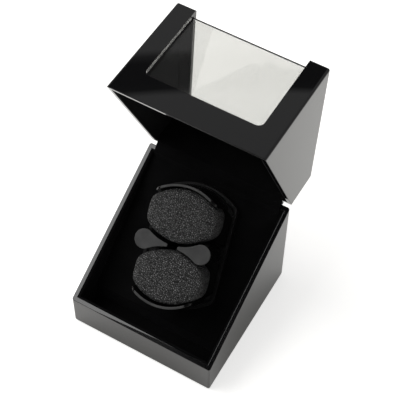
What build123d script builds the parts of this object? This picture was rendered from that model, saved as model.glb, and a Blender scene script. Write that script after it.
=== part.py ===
"""Watch winder: a lacquered case sawn apart on a slant, with a turning cradle for two watches.

Millimetres, +Z up, the front of the case faces -Y. The origin is the centre of the felt sheet
that the case stands on. The lid is drawn shut and then swung open, which is its rest position.
"""
import os
from math import atan2, cos, hypot, radians, sin, sqrt, tan

from build123d import *

# Case, measured outside the lacquer
case_width = 180.0
case_depth = 177.0
case_height = 188.5
cut_front = 47.0
cut_back = 140.0
wall = 5.0
edge_round = 2.5
rim_round = 0.6
saw_gap = 0.5
floor_thick = 5.0
felt_thick = 1.0
felt_inset = 6.0

# Window over the front and top of the lid, and its bent pane
window_side = 23.0
window_sill = 34.6
window_rail = 35.0
window_corner = 7.0
pane_thick = 2.5
pane_bend = 4.0
pane_lap = 3.0

# Velvet on card
lining = 2.0
lining_drop = 1.0
lining_joint = 0.5

# Slanted deck under the rotor
deck_tilt = 37.5
deck_run = 130.5
deck_front_height = 28.8
deck_thick = 4.0
deck_nose = 1.9
deck_hole = 50.0
riser_thick = 4.0
batten_width = 8.0
batten_depth = 12.0
batten_inset = 6.0

# Strip hinge on the back
hinge_length = 160.0
hinge_knuckles = 9
knuckle_radius = 1.9
knuckle_gap = 0.3
hinge_stand = 2.1
hinge_drop = 0.8
hinge_pin_radius = 0.8
pin_clearance = 0.05
leaf_thick = 0.8
leaf_height = 13.0
leaf_screws = 5
leaf_screw_radius = 1.1
leaf_screw_length = 4.0
leaf_head_radius = 2.1
leaf_head_height = 1.0
tab_lap = 1.0
lid_open = 93.8

# Rotor: how far its axis is from the deck's back edge, its turn, and heights above the deck
rotor_inset = 60.0
park_turn = 9.8
tray_gap = 5.0
tray_floor = 3.0
tray_rim_height = 11.3
tower_height = 61.3

# Cradle moulding
tray_radius = 72.0
tray_width = 96.0
tray_corner = 8.0
tray_rim = 4.5
tongue_radius = 58.6
tongue_centre = 11.2
tongue_thick = 4.6
tongue_draft = 0.9
tongue_half = 38.5
tongue_top_half = 35.5
tongue_corner = 9.0
tongue_foot = 5.0
pillar_radius = 11.3
pillar_place = 33.5
pillar_waist = 1.6
pillar_nose_place = 7.7
web_half = 9.8
moulding_round = 0.9

# Watch cushions
cushion_length = 80.0
cushion_width = 60.8
cushion_arc = 53.0
cushion_place = 34.3
cushion_shift = 1.0
cushion_corner = 5.0
cushion_seat = 0.3
cushion_height = 52.5
cushion_foot = 5.0
cushion_belly = 0.5
cushion_crown = 3.5
cushion_edge = 4.5

# Rotor hub, shaft and belt drive under the deck
hub_radius = 22.0
hub_sink = 2.0
cradle_screw_ring = 13.0
shaft_radius = 4.0
running_gap = 0.05
pulley_radius = 24.0
motor_pulley_radius = 6.0
pulley_lip = 2.0
pulley_width = 8.0
pulley_drop = 14.0
pulley_boss_radius = 8.0
belt_width = 4.0
belt_thick = 2.0
belt_gap = 0.1
belt_side = 0.2
motor_offset = 46.0
plate_drop = 30.0
plate_thick = 3.0
plate_length = 108.0
plate_width = 64.0
plate_shift = 8.0
plate_corner = 6.0
plate_screw_inset = 8.0
standoff_radius = 3.5
bush_radius = 6.0
bush_flange_radius = 9.0
bush_flange_thick = 1.5
bush_length = 9.5
clip_radius = 6.5
clip_thick = 0.8
clip_groove = 0.6
gearbox_radius = 12.5
gearbox_length = 20.0
motor_radius = 12.2
motor_length = 23.0
motor_end_radius = 4.0
motor_end_length = 2.0
motor_boss_radius = 3.5
motor_boss_height = 1.0
motor_shaft_radius = 2.0
motor_shaft_length = 32.0
motor_screw_place = 8.5
screw_radius = 1.5
screw_head_radius = 2.8
screw_head_height = 1.4
screw_length = 10.0

# Timer board on the floor
board_length = 58.0
board_width = 40.0
board_thick = 1.6
board_lift = 5.0
board_corner = 3.0
board_standoff_radius = 2.5
board_standoff_inset = 4.0
chip_length = 18.0
chip_width = 8.0
chip_height = 2.5
terminal_length = 15.0
terminal_height = 8.0

# Fittings in the back wall
socket_panel_width = 66.0
socket_panel_height = 30.0
socket_panel_thick = 2.0
socket_panel_corner = 4.0
socket_panel_round = 0.6
socket_panel_lift = 30.0
rear_opening_width = 48.0
rear_opening_height = 22.0
rear_screw_place = 28.5
fitting_spread = 13.0
jack_radius = 5.5
jack_lip_radius = 7.0
jack_lip = 1.0
jack_length = 16.0
jack_socket_radius = 2.8
jack_socket_depth = 9.0
jack_pin_radius = 1.0
jack_pin_drop = 1.0
switch_size = 15.0
switch_depth = 9.0
stem_radius = 2.0
stem_reach = 7.0
knob_radius = 8.0
knob_height = 9.0
knob_gap = 0.4
knob_flutes = 16
flute_radius = 0.8
knob_round = 1.0
pointer_width = 1.4
pointer_height = 0.6

# Worked out from the sizes above
front = -case_depth / 2
back = case_depth / 2
inner_half = case_width / 2 - wall
lined_half = inner_half - lining
floor_top = felt_thick + floor_thick
whole_top = felt_thick + case_height
roof = whole_top - wall
cut_slope = (cut_back - cut_front) / case_depth
cut_tilt = atan2(cut_back - cut_front, case_depth)
tilt = radians(deck_tilt)
turn = radians(park_turn)
deck_back = back - wall - lining
deck_front = deck_back - deck_run
hinge_y = back + hinge_stand
hinge_z = felt_thick + cut_back - hinge_drop
rotor_y = deck_back - rotor_inset


def cut_height(y):
    """Height of the saw cut at a distance y from the middle of the case."""
    return felt_thick + cut_front + (y - front) * cut_slope


def deck_height(y):
    """Height of the velvet surface of the deck at y."""
    return felt_thick + deck_front_height + (y - deck_front) * tan(tilt)


def deck_underside(y):
    """Height of the underside of the deck at y."""
    return deck_height(y) - deck_thick / cos(tilt)


def under_cut(y):
    """Top edge of the lower linings, a little below the saw cut."""
    return cut_height(y) - lining_drop


def over_cut(y):
    """Lower edge of the lid's linings, a little above the saw cut."""
    return cut_height(y) + lining_drop


def card(y0, y1, low, high):
    """Corners of an upright card in the YZ plane, from height low to high, each given at y."""
    return [(y0, low(y0)), (y1, low(y1)), (y1, high(y1)), (y0, high(y0))]


hinge_axis = Axis((0, hinge_y, hinge_z), (1, 0, 0))
cut_plane = Plane(origin=(0, front, felt_thick + cut_front), x_dir=(1, 0, 0),
                  z_dir=(0, -sin(cut_tilt), cos(cut_tilt)))
deck_plane = Plane(origin=(0, rotor_y, deck_height(rotor_y)), x_dir=(1, 0, 0),
                   z_dir=(0, -sin(tilt), cos(tilt)))
rotor_plane = Plane(origin=deck_plane.origin,
                    x_dir=(cos(turn), sin(turn) * cos(tilt), sin(turn) * sin(tilt)),
                    z_dir=deck_plane.z_dir)
rotor_axis = Axis(rotor_plane.origin, rotor_plane.z_dir)


def swing_open(piece):
    """Turn a lid piece, drawn shut, to its open rest position."""
    piece.part = piece.part.rotate(hinge_axis, -lid_open)


def keep(piece, name):
    """Label a finished piece and write it."""
    piece.part.label = name
    export_step(piece.part, "parts/" + name + ".step")


os.makedirs("parts", exist_ok=True)

# The case is made whole, rounded on every edge, and only then sawn apart
with BuildPart() as whole_case:
    with BuildSketch(Plane.XY.offset(felt_thick)):
        Rectangle(case_width, case_depth)
    extrude(amount=case_height)
    fillet(whole_case.edges(), edge_round)
    with BuildSketch(Plane.XY.offset(felt_thick)):
        Rectangle(2 * inner_half, case_depth - 2 * wall)
    extrude(amount=case_height - wall, mode=Mode.SUBTRACT)

fitting_z = felt_thick + socket_panel_lift
back_face = Plane(origin=(0, back, fitting_z), x_dir=(-1, 0, 0), z_dir=(0, 1, 0))
back_skin = Plane(origin=(0, back, hinge_z), x_dir=(-1, 0, 0), z_dir=(0, 1, 0))
leaf_edge = knuckle_radius + knuckle_gap
leaf_screw_level = (leaf_edge + leaf_height) / 2
leaf_screw_pitch = hinge_length / leaf_screws

with BuildPart() as base_case:
    add(whole_case.part)
    split(bisect_by=cut_plane.offset(-saw_gap / 2), keep=Keep.BOTTOM)
    fillet(base_case.faces().sort_by(Axis(cut_plane.origin, cut_plane.z_dir))[-1].edges(),
           rim_round)
    with BuildSketch(back_face):
        RectangleRounded(rear_opening_width, rear_opening_height, socket_panel_corner)
    extrude(amount=-wall, mode=Mode.SUBTRACT)
    with BuildSketch(back_face):
        with Locations((-rear_screw_place, 0), (rear_screw_place, 0)):
            Circle(screw_radius)
    extrude(amount=-leaf_screw_length, mode=Mode.SUBTRACT)
    with BuildSketch(back_skin):
        with Locations((0, -leaf_screw_level)):
            with GridLocations(leaf_screw_pitch, 1, leaf_screws, 1):
                Circle(leaf_screw_radius)
    extrude(amount=-leaf_screw_length, mode=Mode.SUBTRACT)
keep(base_case, "base_case")

window_half = case_width / 2 - window_side
window_bottom = felt_thick + cut_front + window_sill
window_end = back - window_rail

with BuildPart() as lid_case:
    add(whole_case.part)
    split(bisect_by=cut_plane.offset(saw_gap / 2), keep=Keep.TOP)
    fillet(lid_case.faces().sort_by(Axis(cut_plane.origin, cut_plane.z_dir))[0].edges(),
           rim_round)
    with BuildSketch(Plane.XZ.offset(-front)):
        with Locations((0, (window_bottom + whole_top + window_corner) / 2)):
            RectangleRounded(2 * window_half, whole_top + window_corner - window_bottom,
                             window_corner)
    extrude(amount=-wall, mode=Mode.SUBTRACT)
    with BuildSketch(Plane.XY.offset(roof)):
        with Locations((0, (window_end + front - window_corner) / 2)):
            RectangleRounded(2 * window_half, window_end - front + window_corner, window_corner)
    extrude(amount=wall, mode=Mode.SUBTRACT)
    with BuildSketch(back_skin):
        with Locations((0, leaf_screw_level)):
            with GridLocations(leaf_screw_pitch, 1, leaf_screws, 1):
                Circle(leaf_screw_radius)
    extrude(amount=-leaf_screw_length, mode=Mode.SUBTRACT)
swing_open(lid_case)
keep(lid_case, "lid_case")

# Clear acrylic, bent once along the front top edge and glued behind the window
pane_low = window_bottom - pane_lap
pane_far = window_end + pane_lap
pane_face = front + wall
with BuildPart() as lid_window:
    with BuildSketch(Plane.YZ):
        with BuildLine():
            FilletPolyline((pane_face, pane_low), (pane_face, roof), (pane_far, roof),
                           radius=pane_bend)
            Line((pane_far, roof), (pane_far, roof - pane_thick))
            FilletPolyline((pane_far, roof - pane_thick),
                           (pane_face + pane_thick, roof - pane_thick),
                           (pane_face + pane_thick, pane_low), radius=pane_bend - pane_thick)
            Line((pane_face + pane_thick, pane_low), (pane_face, pane_low))
        make_face()
    extrude(amount=window_half + pane_lap, both=True)
swing_open(lid_window)
keep(lid_window, "lid_window")

# Floor and felt
with BuildPart() as bottom_panel:
    with BuildSketch(Plane.XY.offset(felt_thick)):
        Rectangle(2 * inner_half, case_depth - 2 * wall)
    extrude(amount=floor_thick)
keep(bottom_panel, "bottom_panel")

with BuildPart() as bottom_felt:
    with BuildSketch():
        Rectangle(case_width - 2 * felt_inset, case_depth - 2 * felt_inset)
    extrude(amount=felt_thick)
keep(bottom_felt, "bottom_felt")

# Upright linings of the lower case, each a card cut to the slant and covered in velvet
for side, hand in ((-1, "left"), (1, "right")):
    with BuildPart() as lining_card:
        with BuildSketch(Plane.YZ.offset(side * inner_half)):
            Polygon(*card(front + wall, back - wall, lambda y: floor_top, under_cut), align=None)
        extrude(amount=-side * lining)
    keep(lining_card, "base_lining_" + hand)

with BuildPart() as base_lining_front:
    with BuildSketch(Plane.YZ):
        Polygon(*card(front + wall, front + wall + lining, lambda y: floor_top, under_cut),
                align=None)
    extrude(amount=lined_half, both=True)
keep(base_lining_front, "base_lining_front")

with BuildPart() as base_lining_back:
    with BuildSketch(Plane.YZ):
        Polygon(*card(deck_back, back - wall, deck_height, under_cut), align=None)
    extrude(amount=lined_half, both=True)
keep(base_lining_back, "base_lining_back")

# Deck with its rounded nose, the riser below it and the strip of floor in front
with BuildPart() as deck_panel:
    with BuildSketch(Plane.YZ) as deck_side:
        Polygon(*card(deck_front, deck_back, deck_underside, deck_height), align=None)
        fillet(deck_side.vertices().sort_by(Axis.X)[:2].sort_by(Axis.Y)[-1:], deck_nose)
    extrude(amount=lined_half, both=True)
    with BuildSketch(deck_plane.offset(-2 * deck_thick)):
        Circle(deck_hole / 2)
    extrude(amount=4 * deck_thick, mode=Mode.SUBTRACT)
keep(deck_panel, "deck_panel")

with BuildPart() as deck_riser:
    with BuildSketch(Plane.YZ):
        Polygon(*card(deck_front, deck_front + riser_thick, lambda y: floor_top, deck_underside),
                align=None)
    extrude(amount=lined_half, both=True)
keep(deck_riser, "deck_riser")

with BuildPart() as well_floor:
    with BuildSketch(Plane.XY.offset(floor_top)):
        with Locations((0, (front + wall + lining + deck_front) / 2)):
            Rectangle(2 * lined_half, deck_front - front - wall - lining)
    extrude(amount=lining)
keep(well_floor, "well_floor")

with BuildPart() as deck_battens:
    for side in (-1, 1):
        with BuildSketch(Plane.YZ.offset(side * lined_half)):
            Polygon(*card(deck_front + riser_thick + batten_inset, deck_back - batten_inset,
                          lambda y: deck_underside(y) - batten_depth, deck_underside), align=None)
        extrude(amount=-side * batten_width)
keep(deck_battens, "deck_battens")

# Linings of the lid, drawn shut
for side, hand in ((-1, "left"), (1, "right")):
    with BuildPart() as lining_card:
        with BuildSketch(Plane.YZ.offset(side * inner_half)):
            Polygon(*card(front + wall, back - wall, over_cut, lambda y: roof), align=None)
        extrude(amount=-side * lining)
    swing_open(lining_card)
    keep(lining_card, "lid_lining_" + hand)

with BuildPart() as lid_lining_back:
    with BuildSketch(Plane.YZ):
        Polygon(*card(deck_back, back - wall, over_cut, lambda y: roof), align=None)
    extrude(amount=lined_half, both=True)
swing_open(lid_lining_back)
keep(lid_lining_back, "lid_lining_back")

with BuildPart() as lid_lining_front:
    with BuildSketch(Plane.YZ):
        Polygon(*card(front + wall, front + wall + lining, over_cut,
                      lambda y: pane_low - lining_joint), align=None)
    extrude(amount=lined_half, both=True)
swing_open(lid_lining_front)
keep(lid_lining_front, "lid_lining_front")

with BuildPart() as lid_lining_top:
    with BuildSketch(Plane.XY.offset(roof)):
        with Locations((0, (pane_far + lining_joint + deck_back) / 2)):
            Rectangle(2 * lined_half, deck_back - pane_far - lining_joint)
    extrude(amount=-lining)
swing_open(lid_lining_top)
keep(lid_lining_top, "lid_lining_top")

# Strip hinge on the back: a leaf and its screws on each half, and the pin through both
knuckle_pitch = hinge_length / hinge_knuckles
hinge_end = Plane(origin=(-hinge_length / 2, hinge_y, hinge_z), x_dir=(0, 1, 0), z_dir=(1, 0, 0))

for hand, first, up in (("base", 0, -1), ("lid", 1, 1)):
    with BuildPart() as leaf:
        with BuildSketch(back_skin):
            with Locations((0, up * (leaf_edge + leaf_height) / 2)):
                Rectangle(hinge_length, leaf_height - leaf_edge)
            for i in range(first, hinge_knuckles, 2):
                with Locations(((i + 0.5) * knuckle_pitch - hinge_length / 2,
                                up * (leaf_edge + tab_lap) / 2)):
                    Rectangle(knuckle_pitch - knuckle_gap, leaf_edge + tab_lap)
            with Locations((0, up * leaf_screw_level)):
                with GridLocations(leaf_screw_pitch, 1, leaf_screws, 1):
                    Circle(leaf_screw_radius, mode=Mode.SUBTRACT)
        extrude(amount=leaf_thick)
        for i in range(first, hinge_knuckles, 2):
            with BuildSketch(hinge_end.offset(i * knuckle_pitch + knuckle_gap / 2)):
                Circle(knuckle_radius)
            extrude(amount=knuckle_pitch - knuckle_gap)
        with BuildSketch(hinge_end):
            Circle(hinge_pin_radius + pin_clearance)
        extrude(amount=hinge_length, mode=Mode.SUBTRACT)
    with BuildPart() as leaf_fixings:
        with BuildSketch(back_skin.offset(-leaf_screw_length)):
            with Locations((0, up * leaf_screw_level)):
                with GridLocations(leaf_screw_pitch, 1, leaf_screws, 1):
                    Circle(leaf_screw_radius)
        extrude(amount=leaf_screw_length + leaf_thick)
        with BuildSketch(back_skin.offset(leaf_thick)):
            with Locations((0, up * leaf_screw_level)):
                with GridLocations(leaf_screw_pitch, 1, leaf_screws, 1):
                    Circle(leaf_head_radius)
        extrude(amount=leaf_head_height)
        fillet(leaf_fixings.edges().group_by(Axis.Y)[-1], leaf_head_height / 2)
    if hand == "lid":
        swing_open(leaf)
        swing_open(leaf_fixings)
    keep(leaf, "hinge_" + hand + "_leaf")
    keep(leaf_fixings, "hinge_" + hand + "_screws")

with BuildPart() as hinge_pin:
    with BuildSketch(hinge_end):
        Circle(hinge_pin_radius)
    extrude(amount=hinge_length)
keep(hinge_pin, "hinge_pin")

# Cradle, first one arched end wall: a band of a drafted cylinder trimmed to a face-on outline
tray_top = tray_gap + tray_floor
tongue_spread = tongue_half + tongue_foot

with BuildPart() as arch:
    with BuildSketch(rotor_plane.offset(tray_top)):
        with Locations((0, tongue_centre)):
            Circle(tongue_radius)
            Circle(tongue_radius - tongue_thick, mode=Mode.SUBTRACT)
        with Locations((0, tray_radius / 2 + tongue_centre)):
            Rectangle(2 * tray_width, tray_radius, mode=Mode.INTERSECT)
    extrude(amount=tower_height - tray_top, taper=tongue_draft)
    with BuildSketch(Plane(origin=rotor_plane.origin, x_dir=rotor_plane.x_dir,
                           z_dir=-rotor_plane.y_dir)) as face_on:
        Polygon((-tongue_spread, tray_top), (-tongue_spread, tray_rim_height),
                (-tongue_half, tray_rim_height + tongue_foot), (-tongue_top_half, tower_height),
                (tongue_top_half, tower_height), (tongue_half, tray_rim_height + tongue_foot),
                (tongue_spread, tray_rim_height), (tongue_spread, tray_top), align=None)
        fillet(face_on.vertices().sort_by(Axis.Y)[-2:], tongue_corner)
        fillet(face_on.vertices().sort_by(Axis.Y)[4:6], tongue_foot)
    extrude(amount=-tray_radius, mode=Mode.INTERSECT)
    fillet(arch.faces().sort_by(rotor_axis)[-1].edges().sort_by(SortBy.LENGTH)[-2:],
           moulding_round)

# Two teardrop pillars with hollow flanks
flank_radius = (pillar_place**2 + pillar_waist**2 - pillar_radius**2) / (
    2 * (pillar_radius - pillar_waist))
flank_centre = flank_radius + pillar_waist
pillar_join = flank_radius * pillar_place / hypot(pillar_place, flank_centre)
nose_join = flank_radius * pillar_nose_place / hypot(pillar_nose_place, flank_centre)
nose_radius = hypot(pillar_nose_place, flank_centre) - flank_radius

with BuildPart() as pillars:
    with BuildSketch(rotor_plane.offset(tray_gap)):
        for side in (-1, 1):
            with Locations((side * (nose_join + pillar_join) / 2, 0)):
                Rectangle(pillar_join - nose_join, 2 * pillar_radius)
        with Locations((0, flank_centre), (0, -flank_centre)):
            Circle(flank_radius, mode=Mode.SUBTRACT)
        for side in (-1, 1):
            with Locations((side * pillar_place, 0)):
                Circle(pillar_radius)
            with Locations((side * pillar_nose_place, 0)):
                Circle(nose_radius)
    extrude(amount=tower_height - tray_gap)
    fillet(pillars.edges().group_by(rotor_axis)[-1], moulding_round)

with BuildPart() as cradle:
    with BuildSketch(rotor_plane.offset(tray_gap)) as tray_plan:
        Circle(tray_radius)
        Rectangle(tray_width, 2 * tray_radius, mode=Mode.INTERSECT)
        fillet(tray_plan.vertices(), tray_corner)
    extrude(amount=tray_rim_height - tray_gap)
    with BuildSketch(rotor_plane.offset(tray_top)) as well_plan:
        Circle(tray_radius - tray_rim)
        Rectangle(tray_width - 2 * tray_rim, 2 * tray_radius, mode=Mode.INTERSECT)
        fillet(well_plan.vertices(), tray_corner - tray_rim)
    extrude(amount=tray_rim_height - tray_top, mode=Mode.SUBTRACT)
    fillet(cradle.faces().sort_by(rotor_axis)[-1].edges(), moulding_round)
    with BuildSketch(rotor_plane.offset(tray_gap)):
        for side in (-1, 1):
            with Locations((side * (pillar_place + tray_width / 2 - tray_rim / 2) / 2, 0)):
                Rectangle(tray_width / 2 - tray_rim / 2 - pillar_place, 2 * web_half)
    extrude(amount=tray_rim_height - tray_gap)
    add(pillars.part)
    add(arch.part)
    add(arch.part.rotate(rotor_axis, 180))
    with BuildSketch(rotor_plane.offset(tray_gap)):
        with PolarLocations(cradle_screw_ring, 3, start_angle=90):
            Circle(screw_radius)
    extrude(amount=tray_floor, mode=Mode.SUBTRACT)
    with BuildSketch(rotor_plane.offset(tray_top)):
        with PolarLocations(cradle_screw_ring, 3, start_angle=90):
            Circle(screw_head_radius)
    extrude(amount=-screw_head_height, taper=45, mode=Mode.SUBTRACT)
keep(cradle, "cradle")

with BuildPart() as cradle_screws:
    with BuildSketch(rotor_plane.offset(tray_top)):
        with PolarLocations(cradle_screw_ring, 3, start_angle=90):
            Circle(screw_radius)
    extrude(amount=-tray_floor - tray_gap)
    with BuildSketch(rotor_plane.offset(tray_top)):
        with PolarLocations(cradle_screw_ring, 3, start_angle=90):
            Circle(screw_head_radius)
    extrude(amount=-screw_head_height, taper=45)
keep(cradle_screws, "cradle_screws")

# Watch cushions: barrel-shaped in plan, drawn in at the foot, with a shallow ball-shaped crown and
# a soft edge round it. The lower one lies a little to the right in its half of the tray
cushion_middle = cushion_arc - cushion_width / 2
cushion_top = tray_top + cushion_seat + cushion_height
crown_radius = ((cushion_length / 2)**2 + cushion_crown**2) / (2 * cushion_crown)
cushion_steps = [(cushion_belly * i / 3, cushion_foot * (1 - i / 3)**2) for i in range(4)]
cushion_steps.append((1, 0))
for side, slide, name in ((1, 0, "cushion_upper"), (-1, cushion_shift, "cushion_lower")):
    with BuildPart() as cushion:
        for share, inset in cushion_steps:
            reach = cushion_length / 2 - inset
            rise = sqrt((cushion_arc - inset)**2 - reach**2) - cushion_middle
            crest = cushion_arc - inset - cushion_middle
            with BuildSketch(rotor_plane.offset(tray_top + cushion_seat
                                                + share * cushion_height)) as ring_plan:
                with BuildLine(Plane.XY.shift_origin((slide, side * cushion_place))):
                    upper = ThreePointArc((-reach, rise), (0, crest), (reach, rise))
                    Line(upper @ 1, (reach, -rise))
                    lower = ThreePointArc((reach, -rise), (0, -crest), (-reach, -rise))
                    Line(lower @ 1, upper @ 0)
                make_face()
                fillet(ring_plan.vertices(), cushion_corner)
        loft()
        with Locations(rotor_plane.offset(cushion_top - crown_radius).location
                       * Location((slide, side * cushion_place, 0))):
            Sphere(crown_radius, mode=Mode.INTERSECT)
        fillet(cushion.faces().sort_by(rotor_axis)[-1].edges(), cushion_edge)
    keep(cushion, name)

# Hub and shaft that carry the cradle
with BuildPart() as rotor_hub:
    with BuildSketch(rotor_plane.offset(-hub_sink)):
        Circle(hub_radius)
        Circle(shaft_radius, mode=Mode.SUBTRACT)
    extrude(amount=hub_sink + tray_gap)
    with BuildSketch(rotor_plane.offset(tray_gap)):
        with PolarLocations(cradle_screw_ring, 3, start_angle=90):
            Circle(screw_radius)
    extrude(amount=-tray_gap, mode=Mode.SUBTRACT)
keep(rotor_hub, "rotor_hub")

clip_drop = plate_drop + bush_length + running_gap
with BuildPart() as rotor_shaft:
    with BuildSketch(deck_plane.offset(tray_gap)):
        Circle(shaft_radius)
    extrude(amount=-tray_gap - clip_drop - 2 * clip_thick)
    with BuildSketch(deck_plane.offset(-clip_drop)):
        Circle(2 * shaft_radius)
        Circle(shaft_radius - clip_groove, mode=Mode.SUBTRACT)
    extrude(amount=-clip_thick, mode=Mode.SUBTRACT)
keep(rotor_shaft, "rotor_shaft")

with BuildPart() as shaft_clip:
    with BuildSketch(deck_plane.offset(-clip_drop)):
        Circle(clip_radius)
        Circle(shaft_radius - clip_groove, mode=Mode.SUBTRACT)
        with Locations((clip_radius / 2, 0)):
            Rectangle(clip_radius, shaft_radius, mode=Mode.SUBTRACT)
    extrude(amount=-clip_thick)
keep(shaft_clip, "shaft_clip")

# Two pulleys and the flat belt round them
groove_width = belt_width + 2 * belt_side
for name, place, radius, bore in (
        ("driven_pulley", 0, pulley_radius, shaft_radius),
        ("motor_pulley", -motor_offset, motor_pulley_radius, motor_shaft_radius)):
    with BuildPart() as pulley:
        with BuildSketch(deck_plane.offset(-pulley_drop)):
            with Locations((place, 0)):
                Circle(radius + pulley_lip)
        extrude(amount=-pulley_width)
        with BuildSketch(deck_plane.offset(-pulley_drop - (pulley_width - groove_width) / 2)):
            with Locations((place, 0)):
                Circle(radius + 2 * pulley_lip)
                Circle(radius - belt_thick / 2, mode=Mode.SUBTRACT)
        extrude(amount=-groove_width, mode=Mode.SUBTRACT)
        if place == 0:
            with BuildSketch(deck_plane.offset(-pulley_drop - pulley_width)):
                Circle(pulley_boss_radius)
            extrude(amount=-(plate_drop - bush_flange_thick - running_gap
                             - pulley_drop - pulley_width))
        with BuildSketch(deck_plane.offset(-pulley_drop)):
            with Locations((place, 0)):
                Circle(bore)
        extrude(amount=-plate_drop, mode=Mode.SUBTRACT)
    keep(pulley, name)

with BuildPart() as drive_belt:
    with BuildSketch(deck_plane.offset(-pulley_drop - (pulley_width - belt_width) / 2)):
        with BuildSketch(mode=Mode.PRIVATE) as belt_outside:
            Circle(pulley_radius + belt_thick / 2 + belt_gap)
            with Locations((-motor_offset, 0)):
                Circle(motor_pulley_radius + belt_thick / 2 + belt_gap)
        make_hull(belt_outside.sketch.edges())
        with BuildSketch(mode=Mode.PRIVATE) as belt_inside:
            Circle(pulley_radius - belt_thick / 2 + belt_gap)
            with Locations((-motor_offset, 0)):
                Circle(motor_pulley_radius - belt_thick / 2 + belt_gap)
        make_hull(belt_inside.sketch.edges(), mode=Mode.SUBTRACT)
    extrude(amount=-belt_width)
keep(drive_belt, "drive_belt")

# Plate under the deck with the bearing bush and the geared motor
plate_corners = [(side * (plate_length / 2 - plate_screw_inset) - plate_shift,
                  end * (plate_width / 2 - plate_screw_inset))
                 for side in (-1, 1) for end in (-1, 1)]
motor_fixings = [(-motor_offset, -motor_screw_place), (-motor_offset, motor_screw_place)]

with BuildPart() as motor_plate:
    with BuildSketch(deck_plane.offset(-plate_drop)):
        with Locations((-plate_shift, 0)):
            RectangleRounded(plate_length, plate_width, plate_corner)
        Circle(bush_radius, mode=Mode.SUBTRACT)
        with Locations((-motor_offset, 0)):
            Circle(motor_boss_radius, mode=Mode.SUBTRACT)
        with Locations(*plate_corners, *motor_fixings):
            Circle(screw_radius, mode=Mode.SUBTRACT)
    extrude(amount=-plate_thick)
keep(motor_plate, "motor_plate")

with BuildPart() as plate_standoffs:
    with BuildSketch(deck_plane.offset(-deck_thick)):
        with Locations(*plate_corners):
            RegularPolygon(standoff_radius, 6)
    extrude(amount=deck_thick - plate_drop)
    with BuildSketch(deck_plane.offset(-plate_drop)):
        with Locations(*plate_corners):
            Circle(screw_radius)
    extrude(amount=screw_length - plate_thick, mode=Mode.SUBTRACT)
keep(plate_standoffs, "plate_standoffs")

with BuildPart() as plate_screws:
    with BuildSketch(deck_plane.offset(-plate_drop - plate_thick)):
        with Locations(*plate_corners):
            Circle(screw_head_radius)
    extrude(amount=-screw_head_height)
    with BuildSketch(deck_plane.offset(-plate_drop - plate_thick)):
        with Locations(*plate_corners):
            Circle(screw_radius)
    extrude(amount=screw_length)
keep(plate_screws, "plate_screws")

with BuildPart() as shaft_bush:
    with BuildSketch(deck_plane.offset(-plate_drop)):
        Circle(bush_radius)
    extrude(amount=-bush_length)
    with BuildSketch(deck_plane.offset(-plate_drop)):
        Circle(bush_flange_radius)
    extrude(amount=bush_flange_thick)
    with BuildSketch(deck_plane.offset(-plate_drop + bush_flange_thick)):
        Circle(shaft_radius + running_gap)
    extrude(amount=-bush_flange_thick - bush_length, mode=Mode.SUBTRACT)
keep(shaft_bush, "shaft_bush")

motor_top = plate_drop - motor_boss_height
with BuildPart() as gear_motor:
    with BuildSketch(deck_plane.offset(-plate_drop - plate_thick)):
        with Locations((-motor_offset, 0)):
            Circle(gearbox_radius)
    extrude(amount=-gearbox_length)
    with BuildSketch(deck_plane.offset(-plate_drop - plate_thick - gearbox_length)):
        with Locations((-motor_offset, 0)):
            Circle(motor_radius)
    extrude(amount=-motor_length)
    fillet(gear_motor.edges().group_by(rotor_axis)[0], moulding_round)
    with BuildSketch(deck_plane.offset(-plate_drop - plate_thick - gearbox_length
                                       - motor_length)):
        with Locations((-motor_offset, 0)):
            Circle(motor_end_radius)
    extrude(amount=-motor_end_length)
    with BuildSketch(deck_plane.offset(-motor_top)):
        with Locations((-motor_offset, 0)):
            Circle(motor_boss_radius)
    extrude(amount=-plate_thick - motor_boss_height)
    with BuildSketch(deck_plane.offset(-motor_top)):
        with Locations((-motor_offset, 0)):
            Circle(motor_shaft_radius + running_gap)
    extrude(amount=-motor_shaft_length / 2 - running_gap, mode=Mode.SUBTRACT)
    with BuildSketch(deck_plane.offset(-plate_drop - plate_thick)):
        with Locations(*motor_fixings):
            Circle(screw_radius)
    extrude(amount=plate_thick - screw_length, mode=Mode.SUBTRACT)
keep(gear_motor, "gear_motor")

with BuildPart() as motor_shaft:
    with BuildSketch(deck_plane.offset(-motor_top - motor_shaft_length / 2)):
        with Locations((-motor_offset, 0)):
            Circle(motor_shaft_radius)
    extrude(amount=motor_shaft_length)
keep(motor_shaft, "motor_shaft")

with BuildPart() as motor_screws:
    with BuildSketch(deck_plane.offset(-plate_drop)):
        with Locations(*motor_fixings):
            Circle(screw_head_radius)
    extrude(amount=screw_head_height)
    with BuildSketch(deck_plane.offset(-plate_drop)):
        with Locations(*motor_fixings):
            Circle(screw_radius)
    extrude(amount=-screw_length)
keep(motor_screws, "motor_screws")

# Timer board on four standoffs, with a chip and a terminal block
board_middle = (-lined_half / 2, (deck_front + riser_thick) / 2 + board_lift)
board_fixings = [(board_middle[0] + side * (board_length / 2 - board_standoff_inset),
                  board_middle[1] + end * (board_width / 2 - board_standoff_inset))
                 for side in (-1, 1) for end in (-1, 1)]

with BuildPart() as control_board:
    with BuildSketch(Plane.XY.offset(floor_top + board_lift)):
        with Locations(board_middle):
            RectangleRounded(board_length, board_width, board_corner)
    extrude(amount=board_thick)
    with BuildSketch(Plane.XY.offset(floor_top + board_lift + board_thick)):
        with Locations(board_middle):
            Rectangle(chip_length, chip_width)
    extrude(amount=chip_height)
    with BuildSketch(Plane.XY.offset(floor_top + board_lift + board_thick)):
        with Locations((board_middle[0] + board_length / 4, board_middle[1] + board_width / 4)):
            Rectangle(terminal_length, terminal_height)
    extrude(amount=terminal_height)
keep(control_board, "control_board")

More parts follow.
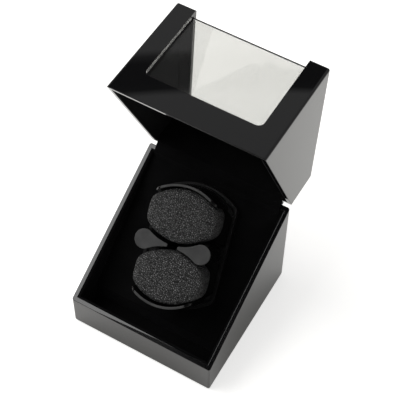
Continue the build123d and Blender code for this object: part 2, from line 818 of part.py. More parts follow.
with BuildPart() as board_standoffs:
    with BuildSketch(Plane.XY.offset(floor_top)):
        with Locations(*board_fixings):
            Circle(board_standoff_radius)
    extrude(amount=board_lift)
keep(board_standoffs, "board_standoffs")

# Panel in the back wall with the socket for the mains adapter and the selector switch
with BuildPart() as socket_panel:
    with BuildSketch(back_face):
        RectangleRounded(socket_panel_width, socket_panel_height, socket_panel_corner)
    extrude(amount=socket_panel_thick)
    fillet(socket_panel.faces().sort_by(Axis.Y)[-1].edges(), socket_panel_round)
    with BuildSketch(back_face):
        with Locations((-fitting_spread, 0)):
            Circle(jack_radius)
        with Locations((fitting_spread, 0)):
            Circle(stem_radius + running_gap)
        with Locations((-rear_screw_place, 0), (rear_screw_place, 0)):
            Circle(screw_radius)
    extrude(amount=socket_panel_thick, mode=Mode.SUBTRACT)
keep(socket_panel, "socket_panel")

with BuildPart() as socket_panel_screws:
    with BuildSketch(back_face.offset(socket_panel_thick)):
        with Locations((-rear_screw_place, 0), (rear_screw_place, 0)):
            Circle(screw_head_radius)
    extrude(amount=screw_head_height)
    fillet(socket_panel_screws.edges().group_by(Axis.Y)[-1], screw_head_height / 2)
    with BuildSketch(back_face.offset(socket_panel_thick)):
        with Locations((-rear_screw_place, 0), (rear_screw_place, 0)):
            Circle(screw_radius)
    extrude(amount=-socket_panel_thick - leaf_screw_length)
keep(socket_panel_screws, "socket_panel_screws")

with BuildPart() as power_jack:
    with BuildSketch(back_face.offset(socket_panel_thick)):
        with Locations((-fitting_spread, 0)):
            Circle(jack_radius)
    extrude(amount=-jack_length)
    with BuildSketch(back_face.offset(socket_panel_thick)):
        with Locations((-fitting_spread, 0)):
            Circle(jack_lip_radius)
    extrude(amount=jack_lip)
    with BuildSketch(back_face.offset(socket_panel_thick + jack_lip)):
        with Locations((-fitting_spread, 0)):
            Circle(jack_socket_radius)
    extrude(amount=-jack_socket_depth, mode=Mode.SUBTRACT)
    with BuildSketch(back_face.offset(socket_panel_thick + jack_lip - jack_socket_depth)):
        with Locations((-fitting_spread, 0)):
            Circle(jack_pin_radius)
    extrude(amount=jack_socket_depth - jack_pin_drop)
keep(power_jack, "power_jack")

with BuildPart() as mode_switch:
    with BuildSketch(back_face):
        with Locations((fitting_spread, 0)):
            Rectangle(switch_size, switch_size)
    extrude(amount=-switch_depth)
    with BuildSketch(back_face):
        with Locations((fitting_spread, 0)):
            Circle(stem_radius + running_gap)
    extrude(amount=-stem_reach - running_gap, mode=Mode.SUBTRACT)
keep(mode_switch, "mode_switch")

knob_base = socket_panel_thick + knob_gap
with BuildPart() as selector_knob:
    with BuildSketch(back_face.offset(knob_base)):
        with Locations((fitting_spread, 0)):
            Circle(knob_radius)
    extrude(amount=knob_height)
    fillet(selector_knob.edges().group_by(Axis.Y)[-1], knob_round)
    with BuildSketch(back_face.offset(knob_base)):
        with Locations((fitting_spread, 0)):
            with PolarLocations(knob_radius, knob_flutes):
                Circle(flute_radius)
    extrude(amount=knob_height, mode=Mode.SUBTRACT)
    with BuildSketch(back_face.offset(knob_base + knob_height)):
        with Locations((fitting_spread, knob_radius / 2 - knob_round / 2)):
            Rectangle(pointer_width, knob_radius - knob_round)
    extrude(amount=pointer_height)
    with BuildSketch(back_face.offset(knob_base)):
        with Locations((fitting_spread, 0)):
            Circle(stem_radius)
    extrude(amount=-knob_base - stem_reach)
keep(selector_knob, "selector_knob")
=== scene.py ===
"""A watch winder with its looks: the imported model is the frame, its solids get their finishes
here, and its two leather cushions and the cover of its hinge are made in full. Metres, +Z up,
the front faces -Y."""

from math import cos, pi, radians, sin

import bpy
import numpy as np
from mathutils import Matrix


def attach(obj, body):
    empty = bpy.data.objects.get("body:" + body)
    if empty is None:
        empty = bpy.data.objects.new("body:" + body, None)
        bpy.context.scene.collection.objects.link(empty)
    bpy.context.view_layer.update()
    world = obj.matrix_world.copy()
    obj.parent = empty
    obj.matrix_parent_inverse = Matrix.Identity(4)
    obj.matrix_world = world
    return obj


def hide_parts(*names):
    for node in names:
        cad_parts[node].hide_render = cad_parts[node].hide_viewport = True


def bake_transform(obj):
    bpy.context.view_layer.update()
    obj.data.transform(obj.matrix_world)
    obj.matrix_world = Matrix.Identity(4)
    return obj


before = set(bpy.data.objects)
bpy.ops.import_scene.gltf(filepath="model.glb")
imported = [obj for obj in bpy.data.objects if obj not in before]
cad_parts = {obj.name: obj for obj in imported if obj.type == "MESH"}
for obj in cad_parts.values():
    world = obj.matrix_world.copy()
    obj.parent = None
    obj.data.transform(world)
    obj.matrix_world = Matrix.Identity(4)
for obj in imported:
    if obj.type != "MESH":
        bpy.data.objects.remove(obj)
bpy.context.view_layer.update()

# Camera: a long lens high over the right front corner of the case. Its place and its angle come
# from the corners of the case in the photograph.
camera = bpy.data.objects.new("camera", bpy.data.cameras.new("camera"))
camera.location = (0.3818, -0.6430, 1.3200)
camera.rotation_euler = [radians(angle) for angle in (33.8136, -0.5559, 29.8550)]
camera.data.sensor_width = 36.0
camera.data.lens = 115.36
camera.data.clip_end = 20.0
bpy.context.scene.collection.objects.link(camera)
bpy.context.scene.camera = camera
bpy.context.scene.view_settings.view_transform = "Standard"


# Table: a top of matt white laminate, which fills the view. It is brighter to the eye than the
# light that it gives, and brighter in mirrors away from the case.
def linear(colour):
    """An sRGB hex colour as linear red, green and blue, with an alpha of 1."""
    parts = [int(colour[i:i + 2], 16) / 255 for i in (1, 3, 5)]
    return [c / 12.92 if c <= 0.04045 else ((c + 0.055) / 1.055)**2.4 for c in parts] + [1.0]


def cleared(owner):
    """The empty node tree of a material or of a world."""
    owner.use_nodes = True
    owner.node_tree.nodes.clear()
    return owner.node_tree


def add(tree, kind, inputs=(), **settings):
    """Add a shader node. settings are its properties, and inputs pairs each socket's name or
    number with a value or with the socket that feeds it."""
    made = tree.nodes.new("ShaderNode" + kind)
    for name, value in settings.items():
        setattr(made, name, value)
    for name, value in dict(inputs).items():
        if isinstance(value, bpy.types.NodeSocket):
            tree.links.new(value, made.inputs[name])
        else:
            made.inputs[name].default_value = value
    return made


def piece_from(name, points, faces):
    """An object in the scene from an array of points in metres and a list of faces."""
    mesh = bpy.data.meshes.new(name)
    mesh.from_pydata(np.asarray(points).tolist(), [], faces)
    mesh.update()
    made = bpy.data.objects.new(name, mesh)
    bpy.context.scene.collection.objects.link(made)
    return made


mm = 0.001
table_half, table_drop = 4.0, 0.3 * mm
table_share, mirror_share = 0.6, 0.18
mirror_near, mirror_far = 0.09, 0.15
table_corners = [(-table_half, -table_half), (table_half, -table_half),
                 (table_half, table_half), (-table_half, table_half)]
table_top = piece_from("table_top", [(x, y, -table_drop) for x, y in table_corners],
                       [(0, 1, 2, 3)])
laminate = bpy.data.materials.new("white_laminate")
tree = cleared(laminate)
ray = add(tree, "LightPath").outputs
seen = add(tree, "Math", {0: ray["Is Camera Ray"], 1: ray["Is Transmission Ray"]},
           operation="ADD")
distance = add(tree, "VectorMath", {0: add(tree, "TexCoord").outputs["Object"]},
               operation="LENGTH")
away = add(tree, "MapRange", {"Value": distance.outputs["Value"], "From Min": mirror_near,
                              "From Max": mirror_far, "To Max": mirror_share},
           interpolation_type="SMOOTHSTEP")
mirror = add(tree, "Math", {0: ray["Is Glossy Ray"], 1: away.outputs[0]}, operation="MULTIPLY")
glow = add(tree, "Math", {0: seen.outputs[0], 1: table_share, 2: mirror.outputs[0]},
           operation="MULTIPLY_ADD")
matt = add(tree, "BsdfDiffuse", {"Color": linear("#e3e2df")})
light = add(tree, "Emission", {"Color": linear("#ffffff"), "Strength": glow.outputs[0]})
both = add(tree, "AddShader", {0: matt.outputs[0], 1: light.outputs[0]})
add(tree, "OutputMaterial", {"Surface": both.outputs[0]})
table_top.data.materials.append(laminate)

# Room: white to the eye and dim as a light. In mirrors it is grey behind the table and dark in
# front of it, with a black beam across the walls under a dark ceiling. Through the window it is
# white low down and grey high up.
beam_tilt, beam_low, beam_high, beam_edge = 0.116, 0.645, 0.664, 0.002
ceiling, ceiling_level, floor_level = 0.82, 0.05, 0.25
wall_levels = [(0.45, 0.3), (0.6, 0.42), (beam_low - beam_edge, 0.44), (beam_low, 0.0),
               (beam_high, 0.0), (beam_high + beam_edge, 0.44), (0.72, 0.42)]
front, behind, front_light = -0.3, 0.2, 0.12
glazed_from, glazed_edge, glazed_light = 0.3, 0.01, 0.4
room_light = 0.45
white = linear("#ffffff")
world = bpy.data.worlds.new("studio")
bpy.context.scene.world = world
tree = cleared(world)
ray = add(tree, "LightPath").outputs
way = add(tree, "TexCoord").outputs["Generated"]
up = add(tree, "VectorMath", {0: way, 1: (beam_tilt, 0.0, 1.0)}, operation="DOT_PRODUCT")
back = add(tree, "VectorMath", {0: way, 1: (0.0, 1.0, 0.0)}, operation="DOT_PRODUCT")
lit = add(tree, "MapRange", {"Value": back.outputs["Value"], "From Min": front,
                             "From Max": behind, "To Min": front_light, "To Max": 1.0})
walls = add(tree, "ValToRGB", {"Fac": up.outputs["Value"]})
steps = walls.color_ramp.elements
steps[0].color = (floor_level, floor_level, floor_level, 1.0)
steps[1].color = (ceiling_level, ceiling_level, ceiling_level, 1.0)
steps[1].position = ceiling
for position, level in wall_levels:
    steps.new(position).color = (level, level, level, 1.0)
dimmed = add(tree, "MapRange", {"Value": up.outputs["Value"], "From Min": glazed_from,
                                "From Max": glazed_from + glazed_edge,
                                "To Min": 1.0, "To Max": glazed_light})
room = add(tree, "Background", {"Color": white, "Strength": room_light})
for kind, colour, strength in (("Is Glossy Ray", walls.outputs[0], lit.outputs[0]),
                               ("Is Transmission Ray", white, dimmed.outputs[0]),
                               ("Is Camera Ray", white, 1.0)):
    shown = add(tree, "Background", {"Color": colour, "Strength": strength})
    room = add(tree, "MixShader", {0: ray[kind], 1: room.outputs[0], 2: shown.outputs[0]})
add(tree, "OutputWorld", {"Surface": room.outputs[0]})

# Lamps: a long softbox, which shows in the gloss of the case, and a plain fill lamp beside it.
# Both hang level over the left of the table.
lamp_turn = radians(3.5)
for name, spot, size, energy in (("softbox", (-1.014, -0.616, 1.25), (1.5, 0.5), 9.2),
                                 ("fill", (-1.06, 0.1, 1.3), (1.5, 1.0), 14.5)):
    lamp = bpy.data.objects.new(name, bpy.data.lights.new(name, "AREA"))
    lamp.data.shape = "RECTANGLE"
    lamp.data.size, lamp.data.size_y = size
    lamp.data.energy = energy
    lamp.location = spot
    lamp.rotation_euler = (0.0, 0.0, lamp_turn)
    lamp.visible_glossy = name == "softbox"
    bpy.context.scene.collection.objects.link(lamp)


# Lacquered case: MDF boards, sprayed with black polyester, sanded and buffed to a mirror. The
# film is faintly rippled by the board, and buffing leaves a fine haze under the gloss.
def new_material(name, **constants):
    """A material of one Principled shader. Gives the material, its node tree, the shader, and
    the piece's own coordinates in metres. Constants are named for the shader's sockets."""
    made = bpy.data.materials.new(name)
    tree = cleared(made)
    shader = add(tree, "BsdfPrincipled",
                 {socket.replace("_", " "): value for socket, value in constants.items()})
    add(tree, "OutputMaterial", {"Surface": shader.outputs[0]})
    return made, tree, shader, add(tree, "TexCoord").outputs["Object"]


def patterned(tree, shader, colour=None, rough=None, relief=None):
    """Let patterns of about 0 to 1 drive a shader. colour is a pattern and the two colours that
    it mixes, rough is one and its two roughnesses, and relief is one and its depth in mm."""
    if colour:
        share, low, high = colour
        mixed = add(tree, "Mix", {0: share, 6: linear(low), 7: linear(high)}, data_type="RGBA")
        tree.links.new(mixed.outputs[2], shader.inputs["Base Color"])
    if rough:
        share, low, high = rough
        spread = add(tree, "MapRange", {"Value": share, "To Min": low, "To Max": high})
        tree.links.new(spread.outputs[0], shader.inputs["Roughness"])
    if relief:
        height, depth = relief
        bump = add(tree, "Bump", {"Height": height, "Distance": depth * mm, "Strength": 1.0})
        tree.links.new(bump.outputs[0], shader.inputs["Normal"])


def dress(material, *nodes):
    """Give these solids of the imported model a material."""
    for name in nodes:
        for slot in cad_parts[name].material_slots:
            slot.material = material


ripple_mm, haze_mm = 9.0, 0.6
lacquer, tree, shader, place = new_material(
    "black_polyester_lacquer", IOR=1.5, Specular_IOR_Level=0.08,
    Coat_Weight=1.0, Coat_Roughness=0.006, Coat_IOR=1.5)
ripple = add(tree, "TexNoise", {"Vector": place, "Scale": 1000 / ripple_mm, "Detail": 1.0})
haze = add(tree, "TexNoise", {"Vector": place, "Scale": 1000 / haze_mm, "Detail": 4.0})
patterned(tree, shader, colour=(haze.outputs[0], "#050506", "#0a0a0b"),
          rough=(haze.outputs[0], 0.08, 0.2), relief=(ripple.outputs[0], 0.01))
dress(lacquer, "base_case", "lid_case")

# Velvet linings: short black rayon pile on card and on the tilted deck board. The pile lies in
# soft patches where it was pressed, and looks lighter along its edges.
pile_mm, patch_mm = 0.5, 24.0
velvet, tree, shader, place = new_material(
    "black_velvet", Roughness=1.0, Specular_IOR_Level=0.05, Sheen_Weight=0.12,
    Sheen_Roughness=0.35, Sheen_Tint=linear("#8f8f94"))
pile = add(tree, "TexNoise", {"Vector": place, "Scale": 1000 / pile_mm, "Detail": 5.0,
                              "Roughness": 0.7})
patch = add(tree, "TexNoise", {"Vector": place, "Scale": 1000 / patch_mm, "Detail": 3.0})
share = add(tree, "Math", {0: pile.outputs[0], 1: patch.outputs[0]}, operation="MULTIPLY")
patterned(tree, shader, colour=(share.outputs[0], "#050505", "#161617"),
          relief=(pile.outputs[0], 0.3))
dress(velvet, "base_lining_left", "base_lining_right", "base_lining_front", "base_lining_back",
      "deck_panel", "deck_riser", "well_floor", "lid_lining_left", "lid_lining_right",
      "lid_lining_back", "lid_lining_front", "lid_lining_top")

# Window: one sheet of cast acrylic, bent hot along the front top edge. It is clear and polished,
# a touch grey through its thickness, and lamps shine through it.
wave_mm = 30.0
tint = linear("#e1e1df")
acrylic, tree, shader, place = new_material(
    "clear_acrylic", Base_Color=tint, Roughness=0.0, IOR=1.49,
    Specular_IOR_Level=0.25, Transmission_Weight=1.0)
wave = add(tree, "TexNoise", {"Vector": place, "Scale": 1000 / wave_mm, "Detail": 0.0})
patterned(tree, shader, relief=(wave.outputs[0], 0.01))
clear = add(tree, "BsdfTransparent", {"Color": tint})
lit = add(tree, "MixShader", {0: add(tree, "LightPath").outputs["Is Shadow Ray"],
                              1: shader.outputs[0], 2: clear.outputs[0]})
tree.links.new(lit.outputs[0], tree.nodes["Material Output"].inputs["Surface"])
dress(acrylic, "lid_window")

# Cradle: one moulding in black ABS. Its walls are polished in the mould, so that only their rounded
# edges catch the light, and the tray under them is duller. The tops of the towers have a satin
# grain from spark erosion, drawn a little coarser than the real 0.15 mm so that it shows. Their
# light grey colour is a painted highlight of the light that falls on them from above.
deck_tilt, park_turn = radians(37.5), radians(9.8)
rotor_place = np.array([0.0, 21.5, 83.896])
rotor_up = np.array([0.0, -sin(deck_tilt), cos(deck_tilt)])
deck_level = rotor_place @ rotor_up
tray_top, tray_fade = 15.0, 5.0
tower_top, satin_and_highlight_from, satin_and_highlight_full = 61.3, 0.6, 0.2
flow_mm, grain_mm, grain_roughness = 15.0, 0.35, 0.5
moulding, tree, shader, place = new_material("black_abs", IOR=1.54, Specular_IOR_Level=0.25)
level = add(tree, "VectorMath", {0: place, 1: rotor_up}, operation="DOT_PRODUCT")
# top marks the tops of the towers, which get both the satin grain and a painted highlight.
top = add(tree, "MapRange", {"Value": level.outputs["Value"],
                             "From Min": (deck_level + tower_top - satin_and_highlight_from) * mm,
                             "From Max": (deck_level + tower_top - satin_and_highlight_full) * mm})
wall = add(tree, "MapRange", {"Value": level.outputs["Value"],
                              "From Min": (deck_level + tray_top) * mm,
                              "From Max": (deck_level + tray_top + tray_fade) * mm})
flow = add(tree, "TexNoise", {"Vector": place, "Scale": 1000 / flow_mm, "Detail": 3.0})
# The light grey of the tower tops is a painted highlight, not the colour of the plastic.
satin_painted_highlight = add(tree, "Mix", {0: flow.outputs[0], 6: linear("#262626"), 7: linear("#4c4c4c")},
            data_type="RGBA")
polished = add(tree, "Mix", {0: wall.outputs[0], 6: linear("#0c0c0c"), 7: linear("#080808")},
               data_type="RGBA")
polish_and_painted_highlight = add(tree, "Mix", {0: top.outputs[0], 6: polished.outputs[2], 7: satin_painted_highlight.outputs[2]},
             data_type="RGBA")
tree.links.new(polish_and_painted_highlight.outputs[2], shader.inputs["Base Color"])
dull = add(tree, "MapRange", {"Value": wall.outputs[0], "To Min": 0.65, "To Max": 0.2})
rough = add(tree, "Mix", {0: top.outputs[0], 2: dull.outputs[0], 3: grain_roughness})
tree.links.new(rough.outputs[0], shader.inputs["Roughness"])
grain = add(tree, "TexNoise", {"Vector": place, "Scale": 1000 / grain_mm, "Detail": 3.0})
eroded = add(tree, "Math", {0: grain.outputs[0], 1: top.outputs[0]}, operation="MULTIPLY")
patterned(tree, shader, relief=(eroded.outputs[0], 0.03))
dress(moulding, "cradle", "rotor_hub")


# Watch cushions: polyurethane leather with a pebbled grain, glued over firm foam. They are
# barrel-shaped in plan, drawn in at the foot and crowned, and sit loosely in the cradle.
cushion_length, cushion_width, cushion_arc, corner_sharpness = 80.0, 60.8, 53.0, 26
cushion_seat, cushion_height, cushion_foot, cushion_belly = 8.3, 52.5, 5.0, 0.5
cushion_crown, cushion_edge, cushion_slack = 3.5, 4.5, 0.5
cushion_apart, lower_aside = 34.3, 1.0
cushion_columns, crown_rows, edge_rows, side_rows, under_rows = 120, 16, 7, 20, 12
even_mm, puff_pressure, puff_mm, puff_frames = 1.8, 4.0, 0.6, 20
rotor_right = np.array([cos(park_turn), sin(park_turn) * cos(deck_tilt),
                        sin(park_turn) * sin(deck_tilt)])
rotor_far = np.cross(rotor_up, rotor_right)


def cushion_form(middle):
    """A cushion's surface as points and faces. Its plan is a soft minimum of two wide arcs and
    two flat ends. The crown is the cap of a ball, the edge a quarter circle, and the side is
    drawn in towards the foot by a parabola."""
    columns = cushion_columns
    turn = np.linspace(0, 2 * pi, columns, endpoint=False)
    arc = cushion_arc - cushion_slack
    offset = (cushion_arc - cushion_width / 2) * np.sin(turn)
    bow = np.sqrt(arc**2 - (cushion_arc - cushion_width / 2)**2 * np.cos(turn)**2)
    flat = (cushion_length / 2 - cushion_slack) / np.maximum(np.abs(np.cos(turn)), 1e-3)
    reach = ((bow - offset)**-corner_sharpness + (bow + offset)**-corner_sharpness
             + flat**-corner_sharpness)**(-1 / corner_sharpness)
    ball = ((cushion_length / 2)**2 + cushion_crown**2) / (2 * cushion_crown)
    inner = reach - cushion_edge
    top = cushion_height - cushion_slack
    crown = np.linspace(0, 1, crown_rows)[1:, None]
    bend = np.radians(np.linspace(0, 90, edge_rows))[1:, None]
    side = np.linspace(1, 0, side_rows)[1:, None]
    under = np.linspace(1, 0, under_rows)[1:-1, None]
    shoulder = top - inner**2 / (2 * ball)
    brim = shoulder - cushion_edge
    drawn = np.maximum(0.0, 1 - brim * side / top / cushion_belly)
    out = np.concatenate([inner * crown, inner + cushion_edge * np.sin(bend),
                          reach - cushion_foot * drawn**2, (reach - cushion_foot) * under])
    up = np.concatenate([top - (inner * crown)**2 / (2 * ball),
                         shoulder - cushion_edge * (1 - np.cos(bend)),
                         brim * side, 0 * reach * under])
    rings = np.stack([middle[0] + out * np.cos(turn), middle[1] + out * np.sin(turn),
                      cushion_seat + up], axis=-1).reshape(-1, 3)
    poles = np.array([[*middle, cushion_seat + top], [*middle, cushion_seat]])
    local = np.concatenate([rings, poles])
    points = (rotor_place + local[:, :1] * rotor_right + local[:, 1:2] * rotor_far
              + local[:, 2:] * rotor_up) * mm
    rows, step = len(out), np.arange(columns)
    beside = (step + 1) % columns
    row = np.arange(rows - 1)[:, None] * columns
    quads = np.stack([row + step, row + columns + step, row + columns + beside, row + beside],
                     axis=-1).reshape(-1, 4)
    pole, foot = rows * columns, (rows - 1) * columns
    caps = np.concatenate([np.stack([0 * step + pole, step, beside], axis=-1),
                           np.stack([0 * step + pole + 1, foot + beside, foot + step], axis=-1)])
    return points, quads.tolist() + caps.tolist()


def evened(cushion):
    """Give a cushion a mesh of even squares, which the cloth needs."""
    remesh = cushion.modifiers.new("even", "REMESH")
    remesh.mode, remesh.voxel_size = "VOXEL", even_mm * mm
    even = bpy.data.meshes.new_from_object(
        cushion.evaluated_get(bpy.context.evaluated_depsgraph_get()))
    cushion.modifiers.clear()
    cushion.data = even


def puffed(cushion):
    """Let the foam fill the leather: cloth with air inside it for some frames, and then no point
    is moved by more than puff_mm."""
    mesh = cushion.data
    rest = np.empty(len(mesh.vertices) * 3)
    mesh.vertices.foreach_get("co", rest)
    cover = cushion.modifiers.new("cover", "CLOTH")
    cover.settings.use_pressure = True
    cover.settings.uniform_pressure_force = puff_pressure
    cover.settings.effector_weights.gravity = 0.0
    scene = bpy.context.scene
    for step in range(1, puff_frames + 1):
        scene.frame_set(step)
    blown = np.empty_like(rest)
    shown = cushion.evaluated_get(bpy.context.evaluated_depsgraph_get())
    shown.data.vertices.foreach_get("co", blown)
    cushion.modifiers.remove(cover)
    scene.frame_set(1)
    shift = (blown - rest).reshape(-1, 3)
    far = np.linalg.norm(shift, axis=1, keepdims=True)
    shift *= np.minimum(1.0, puff_mm * mm / np.maximum(far, 1e-9))
    mesh.vertices.foreach_set("co", rest + shift.ravel())
    mesh.update()


pebble_mm, pore_mm, drift_mm = 2.0, 0.4, 1.2
dome_share, pore_share = 0.45, 0.06
leather, tree, shader, place = new_material(
    "pebbled_polyurethane_leather", IOR=1.5, Specular_IOR_Level=0.45)
drift = add(tree, "TexNoise", {"Vector": place, "Scale": 1000 / (2 * pebble_mm), "Detail": 1.0})
moved = add(tree, "Mix", {0: drift_mm * mm, 4: place, 5: drift.outputs["Color"]},
            data_type="VECTOR")
cells = add(tree, "TexVoronoi", {"Vector": moved.outputs[1], "Scale": 1000 / pebble_mm,
                                 "Randomness": 0.85}, feature="DISTANCE_TO_EDGE")
pebble_dome_and_painted_light = add(tree, "MapRange", {"Value": cells.outputs["Distance"], "From Max": dome_share},
           interpolation_type="SMOOTHSTEP")
pores = add(tree, "TexNoise", {"Vector": place, "Scale": 1000 / pore_mm, "Detail": 2.0})
pitted = add(tree, "MapRange", {"Value": pores.outputs[0], "To Min": -pore_share,
                                "To Max": pore_share})
grained = add(tree, "Math", {0: pebble_dome_and_painted_light.outputs[0], 1: pitted.outputs[0]}, operation="ADD")
# Painted light: the leather is painted near black in the hollows between the pebbles as painted
# shade, and pale grey on their domes as a painted highlight.
patterned(tree, shader, colour=(pebble_dome_and_painted_light.outputs[0], "#010101", "#757575"),
          rough=(pebble_dome_and_painted_light.outputs[0], 0.7, 0.45), relief=(grained.outputs[0], 0.9))

for side, middle in (("upper", (0.0, cushion_apart)), ("lower", (lower_aside, -cushion_apart))):
    cushion = piece_from("watch_cushion_" + side, *cushion_form(middle))
    evened(cushion)
    puffed(cushion)
    cushion.data.materials.append(leather)
    cushion.data.shade_smooth()
    finer = cushion.modifiers.new("finer", "SUBSURF")
    finer.levels = finer.render_levels = 1
    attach(cushion, side + "_cushion")
    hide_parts("cushion_" + side)

# Strip hinge across the back: two folded steel leaves on a pin, bright zinc plated, with small
# pan head screws. The plating has a faint spangle and fine drawing lines along its length.
spangle_mm, line_long_mm, line_mm = 2.5, 12.0, 0.2
zinc, tree, shader, place = new_material("bright_zinc_plate", Metallic=1.0)
spangle = add(tree, "TexVoronoi", {"Vector": place, "Scale": 1000 / spangle_mm})
drawn = add(tree, "Mapping", {"Vector": place, "Scale": (1000 / line_long_mm, 1000 / line_mm,
                                                         1000 / line_mm)})
lines = add(tree, "TexNoise", {"Vector": drawn.outputs[0], "Scale": 1.0, "Detail": 2.0})
patterned(tree, shader, colour=(spangle.outputs["Distance"], "#d3d5d8", "#b7b9bd"),
          rough=(lines.outputs[0], 0.2, 0.38), relief=(lines.outputs[0], 0.01))
dress(zinc, "hinge_base_leaf", "hinge_lid_leaf", "hinge_pin", "hinge_base_screws",
      "hinge_lid_screws", "plate_screws", "motor_screws", "socket_panel_screws")

# Cradle screws: the same screws passivated black over their zinc, so that they don't show between
# the towers. The film is thin and a little patchy.
film_mm = 1.2
black_zinc, tree, shader, place = new_material("black_passivated_zinc", Metallic=0.6)
film = add(tree, "TexNoise", {"Vector": place, "Scale": 1000 / film_mm, "Detail": 3.0})
patterned(tree, shader, colour=(film.outputs[0], "#0c0c0d", "#1a1a1c"),
          rough=(film.outputs[0], 0.4, 0.6), relief=(film.outputs[0], 0.02))
dress(black_zinc, "cradle_screws")

# Hinge cover: a strip of the same velvet, glued to the back linings of the case and of the lid,
# which bows over the open joint and hides the hinge from inside.
cover_width, cover_glued, cover_thick, cover_dip = 160.0, 8.0, 0.6, 1.3
hinge_place = np.array([90.6, 140.2])
cover_ends = np.array([[-9.4, -3.9], [-1.25, 9.5]])
lid_open = radians(93.8)
lid_along = np.round([sin(lid_open), cos(lid_open)], 4)


def cover_line(bow_points=20, end_points=5):
    """The strip's middle line as (y, z) in mm. Between the linings its radius about the hinge
    pin dips by a sine from one end to the other, so that it clears the rims when the lid shuts."""
    first, last = np.degrees(np.arctan2(cover_ends[:, 1], cover_ends[:, 0])) % 360
    share = np.linspace(0, 1, bow_points)
    angle = np.radians(first + (last - first) * share)
    radius = np.linalg.norm(cover_ends[0]) * (1 - share) + np.linalg.norm(cover_ends[1]) * share
    radius -= cover_dip * np.sin(pi * share)
    bow = np.stack([radius * np.cos(angle), radius * np.sin(angle)], axis=-1)
    glued = np.linspace(0, cover_glued, end_points)[1:]
    down = cover_ends[0] - np.outer(glued[::-1], (0.0, 1.0))
    along = cover_ends[1] + np.outer(glued, lid_along)
    return hinge_place + np.concatenate([down, bow, along])


def strip_form(line, width, thick, columns=41):
    """A closed strip of even thickness along a line of (y, z) points, across x, in metres. Each
    point of the line is moved by half the thickness to both sides, square to the line."""
    run = np.gradient(line, axis=0)
    side = np.stack([-run[:, 1], run[:, 0]], axis=-1)
    side *= thick / 2 / np.linalg.norm(side, axis=1, keepdims=True)
    ring = np.concatenate([line + side, (line - side)[::-1]])
    count, last = len(ring), columns - 1
    across = np.repeat(np.linspace(-width / 2, width / 2, columns), count)
    points = np.column_stack([across, np.tile(ring, (columns, 1))]) * mm
    start, step = np.arange(last)[:, None] * count, np.arange(count)
    beside = (step + 1) % count
    around = np.stack([start + step, start + beside, start + count + beside,
                       start + count + step], axis=-1).reshape(-1, 4)
    step = np.arange(count // 2 - 1)
    end = np.stack([step, step + 1, count - 2 - step, count - 1 - step], axis=-1)
    return points, np.concatenate([around, end[:, ::-1], end + last * count]).tolist()


middle_line = cover_line()
hinge_cover = piece_from("hinge_cover", *strip_form(middle_line, cover_width, cover_thick))
hinge_cover.data.materials.append(velvet)
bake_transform(hinge_cover)

# Floor and deck battens: bare medium density fibreboard. The floor is let into the case, and the
# two battens are fixed to its sides under the deck. The sawn faces are brown, with loose fibres.
fibre_mm = 0.8
fibreboard, tree, shader, place = new_material("bare_fibreboard", Roughness=0.9)
fibres = add(tree, "TexNoise", {"Vector": place, "Scale": 1000 / fibre_mm, "Detail": 6.0})
patterned(tree, shader, colour=(fibres.outputs[0], "#a98a63", "#c9ab83"),
          relief=(fibres.outputs[0], 0.1))
dress(fibreboard, "bottom_panel", "deck_battens")

# Felt under the floor: a die-cut sheet of pressed wool felt, glued flat, so that the case stands
# softly. Its fibres lie every way.
wool_mm = 0.7
felt, tree, shader, place = new_material(
    "pressed_black_felt", Roughness=1.0, Specular_IOR_Level=0.1, Sheen_Weight=0.2,
    Sheen_Roughness=0.5, Sheen_Tint=linear("#77777a"))
wool = add(tree, "TexNoise", {"Vector": place, "Scale": 1000 / wool_mm, "Detail": 8.0,
                              "Roughness": 0.75})
patterned(tree, shader, colour=(wool.outputs[0], "#0f0f10", "#2b2b2d"),
          relief=(wool.outputs[0], 0.4))
dress(felt, "bottom_felt")

# Drive under the deck: a cold rolled steel plate on hexagonal posts, with a shaft, its clip and
# a geared motor in a plated can. Rolling leaves long faint streaks.
streak_long_mm, streak_mm = 25.0, 0.3
steel, tree, shader, place = new_material("cold_rolled_steel", Metallic=1.0)
rolled = add(tree, "Mapping", {"Vector": place, "Scale": (1000 / streak_long_mm,
                                                          1000 / streak_mm, 1000 / streak_mm)})
streaks = add(tree, "TexNoise", {"Vector": rolled.outputs[0], "Scale": 1.0, "Detail": 3.0})
patterned(tree, shader, colour=(streaks.outputs[0], "#b5b6b8", "#9fa0a3"),
          rough=(streaks.outputs[0], 0.28, 0.45), relief=(streaks.outputs[0], 0.01))
dress(steel, "motor_plate", "rotor_shaft", "motor_shaft", "shaft_clip", "gear_motor")

# Plate posts and shaft bush: turned brass, and bronze powder that is pressed, sintered and then
# faced. Both have rings left by the lathe tool, drawn as a fine mottle because the deck hides them.
turned_mm = 0.6
for name, low, high, solid in (
        ("turned_brass", "#c9a54e", "#dcbb68", "plate_standoffs"),
        ("sintered_bronze", "#9a6b38", "#b58248", "shaft_bush")):
    metal, tree, shader, place = new_material(name, Metallic=1.0, Roughness=0.3)
    turned = add(tree, "TexNoise", {"Vector": place, "Scale": 1000 / turned_mm, "Detail": 4.0})
    patterned(tree, shader, colour=(turned.outputs[0], low, high),
              relief=(turned.outputs[0], 0.02))
    dress(metal, solid)

# Pulleys: white acetal, turned from bar, with a groove for the belt. The cut face is smooth and
# a little uneven in colour.
cut_mm = 1.5
acetal, tree, shader, place = new_material("white_acetal", Roughness=0.4, IOR=1.48)
cut = add(tree, "TexNoise", {"Vector": place, "Scale": 1000 / cut_mm, "Detail": 2.0})
patterned(tree, shader, colour=(cut.outputs[0], "#dedcd4", "#ecebe5"),
          relief=(cut.outputs[0], 0.02))
dress(acetal, "driven_pulley", "motor_pulley")

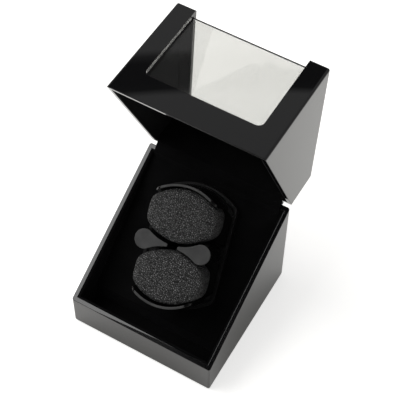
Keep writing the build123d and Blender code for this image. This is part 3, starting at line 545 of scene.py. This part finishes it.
# Belt: a flat ring of black rubber, moulded, ground even and stretched round both pulleys. The
# ground face is dull.
ground_mm = 0.4
rubber, tree, shader, place = new_material("ground_rubber", Roughness=0.8)
ground = add(tree, "TexNoise", {"Vector": place, "Scale": 1000 / ground_mm, "Detail": 3.0})
patterned(tree, shader, colour=(ground.outputs[0], "#161616", "#242424"),
          relief=(ground.outputs[0], 0.05))
dress(rubber, "drive_belt")

# Timer board: glass fibre with copper tracks under green solder mask, on four posts. The tracks
# show as lighter lines between squares.
track_mm = 9.0
mask, tree, shader, place = new_material("green_solder_mask", Roughness=0.3, Coat_Weight=0.5,
                                         Coat_Roughness=0.1)
tracks = add(tree, "TexBrick", {"Vector": place, "Scale": 1000 / track_mm,
                                "Color1": linear("#1d5a35"), "Color2": linear("#174d2d"),
                                "Mortar": linear("#2c7a49"), "Mortar Size": 0.04})
tree.links.new(tracks.outputs["Color"], shader.inputs["Base Color"])
patterned(tree, shader, relief=(tracks.outputs["Fac"], 0.05))
dress(mask, "control_board")

# Board posts: natural nylon, moulded, one on the floor under each corner of the board. They are
# milky and a little cloudy.
milk_mm = 2.0
nylon, tree, shader, place = new_material("natural_nylon", Roughness=0.45, IOR=1.53)
milky = add(tree, "TexNoise", {"Vector": place, "Scale": 1000 / milk_mm})
patterned(tree, shader, colour=(milky.outputs[0], "#dcd8cc", "#eae7dd"),
          relief=(milky.outputs[0], 0.03))
dress(nylon, "board_standoffs")

# Socket panel in the back wall, with the socket, the switch and its knob: black ABS, moulded
# with a fine leather-like grain of about half a millimetre.
moulded_mm, cloud_mm = 0.5, 8.0
plastic, tree, shader, place = new_material("grained_black_abs", IOR=1.54)
grain = add(tree, "TexVoronoi", {"Vector": place, "Scale": 1000 / moulded_mm})
cloud = add(tree, "TexNoise", {"Vector": place, "Scale": 1000 / cloud_mm})
patterned(tree, shader, colour=(cloud.outputs[0], "#171718", "#212122"),
          rough=(grain.outputs["Distance"], 0.42, 0.6), relief=(grain.outputs["Distance"], 0.06))
dress(plastic, "socket_panel", "power_jack", "mode_switch", "selector_knob")
